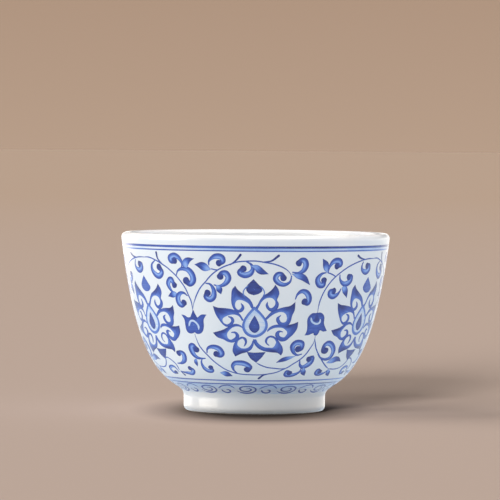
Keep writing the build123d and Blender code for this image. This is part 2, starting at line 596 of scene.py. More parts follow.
PANEL_LEFT, PANEL_RIGHT = -58.4, 60.2
TURN, RAISE = -0.35, 0.15    # the whole scroll sits this far round from front, and this far up
LOTUS_HEIGHT = 29.0

# A petal's rails in millimetres from the lotus's centre: (outer across, outer up, inner across, inner up).
# The first number is which point is the petal's tip, where the outer rail has its corner.
LOTUS_PETALS = [
    (6, [(-0.2, 4.9, -0.4, 4.3), (-0.5, 6.1, -1, 4.9), (-1.4, 7.6, -1.8, 6.2), (-2.6, 8.6, -2.8, 6.9),
        (-4.1, 9.7, -3.9, 7.3), (-5.3, 10.7, -4.8, 7.4), (-6, 11.8, -5.4, 7.2), (-7, 10.5, -5.8, 6.7),
        (-7.2, 8.7, -6, 6), (-7.2, 6.7, -5.9, 5.2), (-6.8, 5.2, -5.4, 4.5), (-6, 4, -4.9, 4.3),
        (-4.9, 3.4, -4.3, 4.7), (-3.7, 3.8, -4, 5.2), (-3.1, 4.8, -4, 5.6), (-3.4, 5.8, -4.1, 5.8),
        (-4.2, 6.5, -4.2, 6.2)]),
    (6, [(-3.3, 1.1, -3.8, 0.8), (-4.5, 3, -4.7, 2.2), (-5.8, 4, -5.7, 2.7), (-7.1, 4.5, -6.9, 2.8),
        (-9.5, 4.8, -8.4, 2.4), (-11.5, 4.9, -9.4, 1.9), (-13.1, 5.4, -9.9, 1.4), (-12.3, 3, -9.9, 0.7),
        (-11, 1, -9.4, 0), (-9.8, -0.4, -8.5, -0.3), (-8.5, -1.1, -8, -0.1), (-6.9, -0.5, -7.4, 0.4),
        (-6.2, 0.9, -7.2, 1), (-6.8, 2, -7.5, 1.6), (-8.2, 2.3, -8.2, 2)]),
    (6, [(-3.6, -1.1, -3.6, -1.5), (-4.3, -0.5, -4.5, -1), (-5.5, -0.1, -5.6, -0.9),
        (-6.8, -0.3, -6.8, -1.3), (-8.2, -1.1, -7.6, -2), (-9.8, -2, -8.2, -2.7), (-13.1, -3, -8.5, -3.4),
        (-11.6, -4.4, -8.4, -4.1), (-9.8, -5, -8, -4.8), (-8.2, -5.8, -7.3, -5.1), (-6.7, -6, -6.6, -4.8),
        (-5.4, -5.4, -5.9, -4.2), (-4.6, -4.2, -5.8, -3.7), (-5, -3.1, -6, -3.2), (-6, -2.5, -6.5, -3),
        (-7.2, -2.7, -7.2, -3)]),
    (5, [(-0.1, -5.3, -0.5, -5.3), (-0.2, -6.7, -1, -6.6), (-0.9, -8.1, -1.9, -7.5),
        (-2.1, -8.9, -2.9, -7.8), (-3.8, -9.4, -4, -7.7), (-5.9, -10.4, -4.8, -7.2),
        (-6.7, -8.8, -5.2, -6.7), (-6.6, -7.4, -5.2, -6.1), (-6, -5.8, -4.9, -5.4),
        (-5, -4.7, -4.2, -4.9), (-3.9, -4.1, -3.6, -4.7), (-2.6, -4.5, -3.1, -5.2),
        (-2.2, -5.6, -2.9, -5.7), (-2.5, -6.6, -3, -6.4), (-3.2, -7.3, -3.2, -7)]),
    (6, [(0.3, 5.1, 1, 4.5), (1, 6, 1.6, 5.6), (1.8, 7.5, 2.3, 6.9), (2.8, 8.8, 3.2, 7.7),
        (4.1, 9.6, 4.3, 8.1), (5.5, 10.8, 5.1, 8.1), (6.5, 12.2, 5.8, 7.8), (7.5, 10.6, 6.3, 7.2),
        (7.7, 9.2, 6.5, 6.5), (7, 7.6, 6.3, 5.7), (7.6, 6.2, 5.8, 5.2), (7.1, 4.6, 5.2, 4.9),
        (5.7, 3.8, 4.7, 5.1), (4.5, 4.1, 4.4, 5.6), (3.6, 5.2, 4.2, 6), (3.5, 6, 4.2, 6.4),
        (4.1, 7, 4.1, 6.7)]),
    (7, [(3.4, 1.7, 3.8, 1.2), (4.4, 2.9, 4.6, 1.9), (5.6, 4, 5.7, 2.8), (7.2, 4.6, 7.2, 3.5),
        (9.2, 5.2, 8.5, 3.7), (11.2, 5.6, 9.4, 3.4), (12.4, 6.4, 9.9, 2.9), (12.9, 6.9, 10.1, 2.3),
        (12.7, 4.3, 10.2, 1.7), (11.9, 2.5, 10, 0.9), (11.4, 0.7, 9.5, 0.5), (10.5, -0.6, 8.8, 0.4),
        (8.8, -0.9, 8.2, 0.7), (7.5, -0.2, 8, 1.1), (6.8, 0.9, 7.8, 1.5), (6.9, 1.9, 7.8, 1.9),
        (8.3, 2.8, 8.3, 2.5)]),
    (6, [(4, -2, 4, -2.6), (4.9, -1, 5.1, -1.8), (6.2, -0.4, 6.4, -1.3), (8, -0.2, 7.9, -1.2),
        (10.1, -0.4, 9, -1.4), (12.3, 0, 9.7, -1.9), (13.9, 0.6, 10.2, -2.4), (13.6, -1.4, 10.3, -3),
        (12.5, -3.1, 10, -3.6), (11.2, -4.3, 9.4, -4.2), (9.7, -5.4, 8.8, -4.2), (8.2, -5.5, 8.2, -4),
        (7.1, -4.7, 7.8, -3.5), (6.5, -3.6, 7.8, -3), (6.8, -2.6, 8, -2.7), (7.8, -2.1, 8.3, -2.6),
        (8.9, -2.4, 8.9, -2.7)]),
    (6, [(-0.4, -4.9, 0.6, -4.9), (0, -6.3, 1.1, -5.9), (1.2, -7.7, 2.1, -6.8), (3, -8.6, 3.4, -7.4),
        (5.4, -9, 4.7, -7.5), (7.3, -9.2, 5.7, -7.5), (8.4, -10, 6.3, -7), (9, -8.8, 6.6, -6.4),
        (8.9, -7.5, 6.8, -5.8), (8.1, -6.1, 6.6, -5.3), (7.3, -4.9, 6.2, -4.7), (6.3, -4, 5.6, -4.4),
        (5, -3.7, 4.9, -4.3), (3.8, -4.3, 4.3, -4.7), (3.3, -5.5, 4, -5.5), (3.8, -6.4, 4.1, -6.1),
        (4.7, -7, 4.7, -6.7)]),
]

# How far the petals' tips of each panel's end lotus lie from the middle lotus's: no two are painted alike.
END_LOTUS_TIPS = [
    [(-0.7, -0.1), (0, 0.7), (0.1, 0.5), (-0.3, 0.4), (0.6, 0.3), (-0.4, -1), (-0.5, -1.2), (-0.6, 0.2)],
    [(0.5, 0.4), (0.7, -0.9), (-0.4, -0.7), (-0.8, 0.3), (-0.5, 0.3), (-0.9, -0.6), (-0.7, 0.5), (0.3, -0.4)],
    [(-0.9, 0.4), (0.8, 0.9), (0.3, 0.2), (-0.5, -0.3), (0.6, -0.6), (-0.7, -1.8), (-1, -1.9), (-1, 0.1)],
]


def pulled(stations, tip, shift):
    """Petal stretched from its root so that its tip lands elsewhere; the rest follows in proportion."""
    root = stations[0, :2]
    length = stations[tip, :2] - root
    rails = stations.reshape(-1, 2, 2)
    share = np.clip((rails - root) @ length / (length @ length), 0, 1.1)
    return (rails + share[..., None] * np.array(shift)).reshape(-1, 4)


def petal(centre, tip, stations, shift, seed):
    stations = pulled(np.array(stations), tip, shift)
    outer_points, inner_points = stations[:, :2], stations[:, 2:]
    outer = placed(centre, curve_with_corners([outer_points[:tip + 1], outer_points[tip:]], 5))
    inner = placed(centre, curve_through(inner_points, 5))
    tip_share = tip / (len(stations) - 1)

    def ink(share, across):
        tip_dark = 0.30 * bell(share, tip_share, 0.10) * (1 - 0.7 * across)
        edge = 0.12 * bell(across, 0, 0.15)
        pale = 0.26 * bell(share, tip_share + 0.03, 0.22) * step_up(across, 0.45, 1.0)
        return 0.73 + tip_dark + edge - pale

    return ribbon(outer, inner, ink, lift=FILL_LIFT + 0.001 * (seed % 8), seed=seed)


DROP_OUTLINE = [(0.0, 5.4), (1.7, 3.9), (3.2, 2.1), (4.0, 0.7), (4.2, -0.8), (3.6, -2.4), (2.2, -3.7),
                (0.2, -4.4), (-1.9, -3.9), (-3.2, -2.7), (-3.8, -0.9), (-3.4, 1.0), (-2.4, 2.7),
                (-1.2, 4.2), (0.0, 5.4)]
DROP_HEART = [(0.1, 2.6), (0.9, 1.2), (1.6, -0.6), (1.5, -1.9), (0.2, -2.9), (-1.1, -2.2), (-1.7, -0.9),
              (-0.9, 1.0), (0.1, 2.6)]


def lotus_heart(centre, seed):
    """Drop in the middle of the lotus: a blue rim, a pale ring and a dark core."""
    outline = curve_through(DROP_OUTLINE, 4)
    rim = placed(centre, outline)
    middle = placed(centre, outline * 0.80 + np.array([0.03, 0.0]))
    core = placed(centre, curve_through(DROP_HEART, 4))
    return [
        ribbon(rim, middle, lambda share, across: 0.66 - 0.1 * across, columns=4, seed=seed),
        blot(placed(centre, (0.1, -0.5)), middle, pooled(0.05, 0.10, 4), lift=WASH_LIFT, seed=seed + 1),
        blot(placed(centre, (0.2, -0.6)), core, pooled(0.80, 0.12), seed=seed + 2),
    ]


def heart_sepal(centre, seed):
    """Very dark heart-shaped sepal on top, held by a thin stroke each side."""
    outline = placed(centre, curve_with_corners([
        [(-0.3, 13.9), (0.9, 12.6), (2.2, 11.2), (2.4, 10.3), (1.4, 9.4), (-0.2, 8.9)],
        [(-0.2, 8.9), (-1.7, 9.4), (-2.5, 10.4), (-2.4, 11.7), (-1.5, 12.8), (-0.3, 13.9)]], 5))
    left = placed(centre, [(-1.9, 11.9), (-3.2, 10.6), (-3.5, 9.4), (-2.9, 8.4)])
    right = placed(centre, [(1.8, 11.8), (2.8, 10.6), (3.1, 9.5), (2.6, 8.6)])
    return [
        blot(placed(centre, (-0.1, 10.8)), outline, pooled(0.88, 0.1), seed=seed),
        stroke(left, thin(0.35), flat_ink(0.6), seed=seed + 1),
        stroke(right, thin(0.35), flat_ink(0.6), seed=seed + 2),
    ]


def drop_sepal(centre, seed):
    """Plain drop-shaped sepal on top of every second lotus."""
    outline = placed(centre, curve_through([
        (0.0, 14.0), (-1.4, 12.4), (-2.3, 10.8), (-1.3, 9.5), (0.4, 9.0), (2.2, 9.4), (3.0, 10.4),
        (1.7, 12.1), (0.0, 14.0)], 5))
    return [blot(placed(centre, (0.2, 10.7)), outline, pooled(0.66, 0.1), seed=seed)]


def foot_sepal(centre, seed):
    """Dark sepal under the lotus, pointing down to its stalk."""
    outline = placed(centre, curve_with_corners([
        [(-2.3, -8.9), (0.0, -9.1), (3.6, -8.9)],
        [(3.6, -8.9), (2.3, -10.7), (0.6, -12.3)],
        [(0.6, -12.3), (-1.2, -10.9), (-2.3, -8.9)]], 6))
    return [blot(placed(centre, (0.3, -10.1)), outline, pooled(0.84, 0.1), seed=seed)]


def lotus(name, centre, tips, top_sepal, seed):
    grids = [petal(centre, tip, stations, shift, seed + k)
             for k, ((tip, stations), shift) in enumerate(zip(LOTUS_PETALS, tips))]
    grids += lotus_heart(centre, seed + 10)
    grids += foot_sepal(centre, seed + 14)
    grids += top_sepal(centre, seed + 16)
    return painted_piece(name, grids)


# ---- buds

UPRIGHT_BUD = [
    [(-4.2, 2.7), (-2.9, 2.5), (-1.9, 1.9), (-0.9, 2.0)], [(-0.9, 2.0), (-0.2, 3.2), (0.4, 3.9)],
    [(0.4, 3.9), (0.9, 3.2), (1.6, 1.9)], [(1.6, 1.9), (3.2, 2.9), (4.9, 2.9)],
    [(4.9, 2.9), (4.3, 2.2), (3.7, 1.2), (3.5, -0.7), (2.9, -2.3), (1.9, -3.1), (0.6, -3.2), (-0.1, -2.8),
     (-0.8, -3.1), (-2.2, -3.1), (-3.0, -2.3), (-3.2, -0.6), (-3.3, 1.3), (-4.2, 2.7)]]
UPRIGHT_BUD_LIGHT = [(-1.9, -0.9), (-1.1, 0.6), (-0.1, 0.9), (1.0, 0.2), (1.6, -0.8), (1.5, -1.9)]
HANGING_BUD = [
    [(0.3, 3.4), (-0.3, 3.3), (-1.6, 3.2), (-2.7, 2.2), (-3.0, 1.1), (-2.7, -0.8), (-2.6, -2.4),
     (-3.1, -3.7)],
    [(-3.1, -3.7), (-1.7, -3.6), (-0.7, -3.2), (-0.1, -3.1), (0.1, -3.6), (0.8, -3.8), (1.3, -3.7),
     (1.9, -2.8), (2.1, -2.2), (3.4, -2.6), (4.8, -2.4)],
    [(4.8, -2.4), (3.9, -1.2), (3.2, 0.1), (3.1, 1.8), (2.5, 2.8), (1.5, 3.4), (0.3, 3.4)]]
HANGING_BUD_LIGHT = [(-1.8, 1.9), (-1.4, 0.8), (-0.4, 0.1), (0.8, -0.1), (1.6, 0.4), (1.6, 1.4)]


# The place of each bud, its outline's runs, its light stroke and the spine of its dark middle sepal
BUDS = [
    ((-30.0, 28.7), UPRIGHT_BUD, UPRIGHT_BUD_LIGHT, [(0.4, 4.2), (0.3, 1.5)]),
    ((30.0, 29.0), HANGING_BUD, HANGING_BUD_LIGHT, [(0.2, 2.9), (0.3, 0.9)]),
]


def bud(name, place, outline, light, core, seed):
    body = placed(place, curve_with_corners(outline, 4))
    grids = [
        blot(placed(place, (0.0, -0.4)), body, pooled(0.72, 0.16, 3), seed=seed),
        stroke(placed(place, light), thin(0.62), flat_ink(0.14), seed=seed + 1),
        stroke(placed(place, core), lambda share: 0.3 + 2.1 * share, flat_ink(0.90), lift=LINE_LIFT + 0.003,
               seed=seed + 2, round_end=0.3),
    ]
    return painted_piece(name, grids)


# ---- vines

VINES = [
    [(-57.4, 48.9), (-52.4, 49), (-47.7, 48.1), (-44.7, 47.2), (-41.8, 46.2), (-39.1, 44.9),
     (-36.5, 43.4), (-34.1, 41.5), (-32.2, 39.6), (-31, 37.6), (-29.9, 35.6), (-29.5, 32.6)],
    [(-29.4, 33.4), (-28.8, 34.8), (-27.8, 36.3), (-26.6, 37.9), (-24.6, 40), (-22.2, 41.7),
     (-19.4, 43.8), (-16.3, 45.5), (-13.5, 46.6), (-10.6, 47.4), (-7.9, 48.1), (-4.7, 48.4), (0.6, 48.5),
     (4.4, 48.1), (7.7, 47.7), (11.1, 46.9), (13.8, 45.9), (15.5, 44.7), (16.3, 43.4)],
    [(-30.3, 25.5), (-29.8, 23.9), (-28.8, 21.8), (-27, 20.1), (-25.1, 18.8), (-22.5, 17.1),
     (-19.2, 15.5), (-16.6, 14.5), (-13.3, 13.7), (-8, 13), (-2.1, 12.8), (3.9, 12.8), (8.4, 13.1),
     (12.8, 13.6), (16.1, 14.4), (19.3, 15.3), (21.5, 16.2), (25.1, 17.6), (27.7, 19.2), (29.5, 21),
     (31.1, 23.2), (31.2, 25.1)],
    [(31.4, 24), (32, 22.8), (33.1, 21.2), (35.7, 19.2), (38.9, 17.4), (41.5, 16.2), (44.5, 15.1),
     (47.1, 14.4)],
    [(47.1, 14.4), (52.5, 14.2), (57.3, 14.6), (60, 15.6), (61.6, 16.8), (62.2, 18.1)],
    [(1.2, 16.7), (3.3, 16), (7.2, 15.2), (11.5, 14.9), (15.6, 14.7), (18.8, 15)],
    [(30.4, 32.3), (30.5, 34.1), (30.9, 36), (32.4, 38.8), (34.8, 41.4), (37.9, 43.6), (41, 45.1),
     (44.6, 46.5), (49.1, 47.7), (53.6, 48.5), (57.5, 48.9), (63.6, 49)],
    [(37.9, 43.6), (35.5, 44.4), (33.2, 44.9)],
    [(-19.2, 46), (-17.6, 45.7), (-16, 45.6)],
    [(-57.4, 17.2), (-54.5, 17.5), (-51.1, 16.5), (-49.1, 15.3), (-48.8, 13.6)],
]

THORNS = [
    [(56, 48.7), (52.2, 49.2), (50.1, 50)],
    [(-43.8, 46.9), (-46.6, 48.8), (-47.1, 50.6)],
    [(-10.6, 47.2), (-7.9, 48.7), (-6, 50.4)],
    [(3.4, 48.2), (7.2, 48.6), (10.2, 50.2)],
    [(-48.3, 13.3), (-46.5, 12.1)],
    [(8.4, 13.1), (5.2, 12.6), (2.9, 11.6)],
]

# Curled leaves: the width of the curl's end, then its spine from the stalk to the middle of the end
CURLS = [
    (1.9, [(-48.4, 48.1), (-50.8, 46.8), (-51.1, 45.6), (-50, 44.2), (-46.9, 43.2), (-44.6, 44.5),
        (-46.2, 46)]),
    (1.9, [(-33.7, 45.8), (-32.9, 47.2), (-34.4, 49.1), (-36.9, 49.8), (-39.2, 49), (-38.6, 48),
        (-37, 48.2)]),
    (2.1, [(-36.5, 43.7), (-35.4, 45.1), (-32.7, 45.8), (-29.9, 45.4), (-28.1, 43.8), (-27.9, 42.2),
        (-29.7, 41), (-31.4, 42)]),
    (1.8, [(-38, 38), (-40.3, 38.9), (-41.7, 41), (-39.8, 42.4), (-38.2, 40.7)]),
    (1.9, [(-31.5, 37.3), (-33.3, 38.2), (-35.5, 38), (-37, 36.6), (-36.6, 35), (-35, 34.3), (-34, 35)]),
    (1.9, [(-20, 47), (-19.9, 48.3), (-17.2, 49.8), (-14.1, 49.5), (-13.6, 48.3), (-15.2, 47.8)]),
    (1.9, [(-18.2, 41), (-15.6, 40.6), (-12.6, 41.6), (-11.4, 43.2), (-12.4, 44.6), (-14.4, 44.6),
        (-15, 43.7)]),
    (1.9, [(-22, 41.4), (-19.8, 41.1), (-18.3, 39.3), (-18.5, 37.4), (-20.4, 36.4), (-22.4, 37.2),
        (-21.4, 38.3)]),
    (1.9, [(-3.6, 48.3), (-1.6, 47.5), (-0.8, 46.1), (-1.8, 44.7), (-4.5, 44.1), (-6.6, 45), (-5, 46)]),
    (1.7, [(16.2, 44), (15.7, 42.2), (13.2, 41.2), (10.5, 41.8), (9.1, 43.1), (9.9, 44.3), (11.6, 44.5),
        (12.6, 43.3)]),
    (1.9, [(16.4, 45.1), (19.3, 44.8), (21.6, 45.7), (22.5, 47.2), (21.9, 48.5), (20.3, 48.8), (19.3, 48)]),
    (1.9, [(32.7, 44.9), (30.2, 44.4), (28.5, 42.7), (29.6, 41.1), (31.8, 41.1), (31.8, 42.3)]),
    (1.9, [(18.6, 36.6), (19.3, 38), (21.2, 39.1), (23.2, 38.9), (24.8, 37.8), (25.3, 36.4), (24.7, 35.3),
        (23.3, 35.8)]),
    (1.9, [(-26.7, 17.8), (-29, 17.7), (-31.8, 18), (-33.8, 19.3), (-34.2, 21.2), (-32.6, 21.8),
        (-31.2, 20.6)]),
    (1.9, [(-25.2, 19.5), (-24.6, 20.8), (-22.6, 21.5), (-19.8, 21.4), (-17.8, 20.7), (-16.9, 19.5),
        (-18, 18.8), (-19.8, 19.2)]),
    (1.9, [(-9.8, 13.3), (-11.6, 14.3), (-11.9, 15.5), (-10.6, 16.4), (-8.5, 16.6), (-4.9, 16.3),
        (-2.2, 15.2), (-3.7, 14.5)]),
    (1.9, [(25.6, 19.4), (22.8, 19.1), (20.4, 20.2), (19.6, 21.8), (21.4, 23), (24.6, 22.6), (24.7, 21.3),
        (23, 21)]),
    (1.9, [(25.2, 17.4), (25.7, 16.1), (27.3, 15.3), (29.7, 15.5), (32.2, 16.8), (32.4, 18.2),
        (30.8, 17.8)]),
    (1.6, [(27.3, 15.1), (27.2, 13.9), (25, 13), (21.2, 12.6), (18.8, 12.9), (19, 13.8), (20.6, 13.4)]),
    (1.6, [(47.1, 14), (46, 13.3), (43.6, 12.8), (40.8, 12.8), (38.9, 13.3), (39.4, 14.1), (41, 13.6)]),
    (1.8, [(35.2, 19.3), (37.3, 18.2), (41.4, 17.5), (44.7, 18.2), (45.4, 20), (43.2, 21.9), (39.9, 22.7),
        (37.9, 21.8), (38.2, 20.4), (39.7, 20.3)]),
    (1.8, [(-47.6, 15.8), (-43.6, 16), (-40.6, 17.3), (-40.2, 18.8), (-42.2, 19.4), (-43.4, 19.1)]),
    (1.5, [(-48.4, 13.3), (-46, 13), (-42.6, 12.8), (-39.2, 12.8), (-37.4, 13.8), (-39.2, 14.3)]),
    (1.5, [(-29, 17.5), (-29.9, 16.5), (-29.5, 14.9), (-27.2, 13.8), (-24.4, 14), (-24.9, 14.8)]),
    (1.9, [(33.6, 44.9), (34, 46.5), (35.4, 48), (37.3, 48.6), (39.4, 48.3), (40, 47.4), (38.2, 46.9)]),
    (1.9, [(40.2, 44.2), (40.4, 42.9), (41.6, 41.8), (43.7, 41.2), (45.9, 41.6), (47.1, 42.5),
        (47.2, 43.5), (46, 43.4)]),
    (1.9, [(54.5, 48.1), (53.7, 46.9), (53.9, 45.8), (55.8, 44.9), (58.2, 44.9), (59.6, 45.7),
        (59.5, 46.7), (58, 46.7)]),
    (1.9, [(41.8, 39.8), (41.1, 38.8), (39.6, 37.8), (37.4, 37.4), (35.9, 38), (35.9, 38.9), (37.4, 39.1)]),
    (1.2, [(-50.2, 12.9), (-51.5, 14.4), (-54.6, 14.7), (-57.4, 13.9), (-56.2, 12.7), (-53.4, 12.8)]),
]

# Flat leaves: the greatest width, how far along it is, and the spine from the stalk to the tip
LEAVES = [
    (1.9, 0.4, [(-37.3, 38.1), (-39.6, 37.6), (-42.6, 37)]),
    (2.3, 0.32, [(-30.7, 46.1), (-31.2, 47.4), (-29.9, 48.4), (-26.8, 49)]),
    (2.5, 0.45, [(-19.2, 45.7), (-21.6, 46.3), (-23.6, 46.9), (-26.6, 47.2)]),
    (1.9, 0.5, [(-17, 41), (-15.9, 39.9), (-15, 38.1)]),
    (2, 0.5, [(-1.8, 47), (0.6, 46.6), (2.6, 45.4), (6, 44.5)]),
    (1.9, 0.5, [(16.2, 44.6), (18.9, 43.9), (21.6, 43.4), (25, 41.1)]),
    (2.1, 0.48, [(33.2, 44.9), (32.4, 46), (32.1, 47.2), (30.3, 49.2)]),
    (1.4, 0.55, [(22.3, 18.8), (20, 18.4), (17.4, 18), (14.8, 17.5), (12, 16.7)]),
    (1.7, 0.5, [(28.9, 15.1), (29.3, 13.8), (31.3, 12.4)]),
    (1.7, 0.5, [(47.2, 14.3), (48.6, 13.1), (50.9, 12)]),
    (2.1, 0.45, [(43.3, 16.3), (46.8, 17), (50.8, 17.4), (55, 16.6)]),
    (1.2, 0.5, [(-32.1, 17.7), (-33.4, 16.7), (-33.3, 15.1)]),
    (2.2, 0.4, [(42.2, 40.2), (44.2, 39.4), (46.2, 36.9)]),
    (2, 0.5, [(-20.2, 13.3), (-16.6, 13), (-12.9, 12.3)]),
]


def curl(width, spine, seed):
    """Leaf that curls up like a young fern round a ball: dark outside the bend, light inside it."""
    def spread(share):
        neck = 0.24 * bell(share, 0.80, 0.08)
        ball = 0.40 * step_up(share, 0.82, 0.95)
        return 0.32 + (width - 0.32) * step_up(share, -0.05, 0.55) * (1 - neck) + ball

    def ink(share, across):
        light = 0.42 * bell(across, 0.36, 0.42) * step_up(share, 0.10, 0.50) * step_up(-share, -0.86, -0.72)
        edge = 0.12 * step_up(-across, 0.2, 1.0)
        return 0.75 + edge + 0.20 * step_up(share, 0.74, 0.92) - light

    return stroke(spine, spread, ink, lift=FILL_LIFT + 0.004, columns=9, seed=seed, round_end=width / 2 + 0.2)


def leaf(width, widest, spine, seed):
    """Flat leaf, pale at its stalk and dark towards its tip, with a dark edge."""
    def spread(share):
        return width * np.sin(pi * np.clip(share, 0, 1) ** (log(0.5) / log(widest))) ** 1.2 + 0.12

    def ink(share, across):
        return 0.36 + 0.52 * step_up(share, 0.20, 0.70) + 0.40 * np.abs(across) ** 3 * (1 - share)

    return stroke(spine, spread, ink, lift=FILL_LIFT + 0.010, columns=7, seed=seed)


def thorn(spine, seed):
    """Bold dark stroke off the vine, pressed hardest at its end."""
    return stroke(spine, lambda share: 0.30 + 0.50 * share, lambda share, across: 0.80 + 0.24 * share,
                  lift=LINE_LIFT + 0.004, seed=seed, round_end=0.35)


def on_panel(panel, points):
    """Panel places to wall places: the first panel faces front, and the others share what is left."""
    width = PANEL_RIGHT - PANEL_LEFT
    share = (360 - width) / 2 / width
    points = np.array(points, float)
    if panel:
        points[:, 0] = PANEL_RIGHT + (panel - 1) * share * width + (points[:, 0] - PANEL_LEFT) * share
    return points + np.array([TURN, RAISE])


def paint_scroll():
    for panel in range(3):
        seed = 100 * panel
        middle, end = on_panel(panel, [(0, LOTUS_HEIGHT), (PANEL_RIGHT, LOTUS_HEIGHT + 0.2)])
        lotus(f"lotus_flower_{2 * panel + 1}", middle, [(0, 0)] * 8, heart_sepal, seed)
        lotus(f"lotus_flower_{2 * panel + 2}", end, END_LOTUS_TIPS[panel], drop_sepal, seed + 20)
        for side, (place, *shape) in enumerate(BUDS):
            centre = on_panel(panel, [place])[0]
            bud(f"lotus_bud_{2 * panel + side + 1}", centre, *shape, seed + 40 + 4 * side)
        vines = [stroke(on_panel(panel, spine), thin(0.40), flat_ink(0.76), columns=4, seed=seed + k)
                 for k, spine in enumerate(VINES)]
        vines += [thorn(on_panel(panel, spine), seed + k) for k, spine in enumerate(THORNS)]
        painted_piece(f"vine_{panel + 1}", vines)
        leaves = [curl(width, on_panel(panel, spine), seed + k) for k, (width, spine) in enumerate(CURLS)]
        leaves += [leaf(width, widest, on_panel(panel, spine), seed + k)
                   for k, (width, widest, spine) in enumerate(LEAVES)]
        painted_piece(f"leaves_{panel + 1}", leaves)


# ---------------------------------------------------------------- painted bands


# Each band's place in the CAD model, with its depth of ink, how far it stands off the wall and its slot
BANDS = [
    ("rim_line_thick", 0.84, LINE_LIFT, "cobalt_line"),
    ("rim_wash", 0.13, WASH_LIFT, "cobalt_wash"),
    ("rim_line_thin", 0.68, LINE_LIFT, "cobalt_line"),
    ("base_line_upper", 0.70, LINE_LIFT, "cobalt_line"),
    ("base_wash", 0.04, WASH_LIFT, "cobalt_wash"),
    ("base_line_lower", 0.80, LINE_LIFT, "cobalt_line"),
]


def line_ink(depth, seed):
    """Ink of a ring drawn on the turning cup, a little darker here and there."""
    def ink(turn, across):
        return depth + 0.08 * np.sin(2 * turn + seed) + 0.05 * np.sin(5 * turn + 2 * seed)

    return ink


def paint_bands():
    """Rim lines, base lines and the wash between each pair."""
    for order, (node, depth, lift, slot) in enumerate(BANDS):
        low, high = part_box(node)
        waver = 0.02 if slot == "cobalt_line" else 0.0
        ring = band(low.z / MM, high.z / MM, line_ink(depth, order), lift, waver=waver, seed=order)
        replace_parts(painted_piece(f"painted_{node}", [ring]), node)


BORDER_SCROLLS = 12        # large spirals round the foot, each with a small one after it
BORDER_TURN = -5.6         # degrees from front to the first of them


def spiral(middle, half_width, half_height, start, turns, seed):
    """Spiral brush line that winds in to the middle; the start is an angle in degrees from +across to up."""
    share = np.linspace(0, 1, 22)
    turn = np.radians(start + 360 * turns * share)
    shrink = 1 - 0.72 * share
    points = np.stack([middle[0] + half_width * shrink * np.cos(turn),
                       middle[1] + half_height * shrink * np.sin(turn)], -1)
    return stroke(points, thin(0.58), flat_ink(0.84), columns=4, seed=seed)


def paint_foot_border():
    """Classic scroll on a pale wash, where the bowl meets its foot."""
    low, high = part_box("foot_border")
    bottom, top = low.z / MM, high.z / MM

    def wash_ink(turn, across):
        return 0.05 + 0.09 * step_up(across, 0.1, 0.9) + 0.03 * np.sin(6 * turn)

    wash = band(bottom, top, wash_ink, WASH_LIFT, columns=8)
    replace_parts(painted_piece("foot_border_wash", [wash]), "foot_border")
    middle = (bottom + top) / 2
    pitch = 360 / BORDER_SCROLLS
    lines = []
    for k in range(BORDER_SCROLLS):
        place = k * pitch + BORDER_TURN
        lines.append(spiral((place, middle), 0.27 * pitch, 1.40, 200, 1.7, k))
        lines.append(spiral((place + 0.50 * pitch, middle - 0.5), 0.14 * pitch, 0.9, 160, 0.85, k + 20))
        lines.append(stroke([(place + 0.30 * pitch, middle + 0.2), (place + 0.45 * pitch, middle + 1.1),
                             (place + 0.62 * pitch, middle + 1.2), (place + 0.72 * pitch, middle + 0.3)],
                            thin(0.46), flat_ink(0.76), columns=4, seed=k + 40))
    painted_piece("foot_border_scroll", lines)


cobalt = cobalt_paint()
paint_scroll()
paint_bands()
paint_foot_border()

# ---------------------------------------------------------------- the stage

# Places and sizes on the stage are in metres
PAPER_REACH = 12.0         # paper all round the cup, and up the backdrop
PAPER_UNDER_CUP = 0.034    # radius of the disc of paper that sheds light back on the cup
FLOOR_NEAR = (0.394, 0.302, 0.251)
FLOOR_FAR = (0.384, 0.280, 0.210)
# The backdrop's paper is painted darker towards the top, as painted shade where the studio light falls off
BACKDROP_LOW = (0.151, 0.107, 0.078)
BACKDROP_HIGH = (0.136, 0.093, 0.066)
PAINTED_SHADOW_REACH = 0.040          # how far from the cup's middle the painted contact shadow reaches, each side
# Painted contact shadow on the paper: its tone, darkest under the foot, by share of that reach
PAINTED_SHADOW = [(0.0, 0.08), (0.40, 0.10), (0.56, 0.32), (0.72, 0.66), (0.90, 0.92), (1.0, 1.0)]


def toned_paper(name, axis, start, end, first, last):
    """Warm grey-brown paper whose tone changes along one axis, between two places in metres."""
    material, look, shader = new_look(name)
    place = look.place()
    tone = look.ramp(look.share(look.along(axis, place), start, end), [(0.0, first), (1.0, last)])
    look.set(shader, Base_Color=tone, Roughness=0.9, Specular_IOR_Level=0.0)
    return material, look, shader, place, tone


def floor_paper():
    """The floor's paper with a painted contact shadow close round the foot, where the bowl keeps the light
    off.
    """
    material, look, shader, place, tone = toned_paper("floor_paper", "Y", 0.0, 4.0, FLOOR_NEAR, FLOOR_FAR)
    # Painted shadow: the paper is darkened in an oval round the foot, twice as long front to back as side to
    # side
    squeezed = look.add("VectorMath", place, (1.0, 0.50, 0.0), operation="MULTIPLY")["Vector"]
    reach = look.add("VectorMath", squeezed, operation="LENGTH")["Value"]
    shadow_tone = look.ramp(look.share(reach, 0.0, PAINTED_SHADOW_REACH), [(stop, (grey,) * 3) for stop, grey in PAINTED_SHADOW])
    look.set(shader, Base_Color=look.add("VectorMath", tone, shadow_tone, operation="MULTIPLY")["Vector"])
    return material


def paper(name, points, faces, material, bounces):
    """Flat sheet of paper; only where it bounces does it shed its own light on the cup."""
    mesh = bpy.data.meshes.new(name)
    mesh.from_pydata(points, [], faces)
    mesh.materials.append(material)
    sheet = bpy.data.objects.new(name, mesh)
    bpy.context.scene.collection.objects.link(sheet)
    sheet.visible_diffuse = bounces
    sheet.visible_glossy = False
    sheet.visible_shadow = False
    return sheet


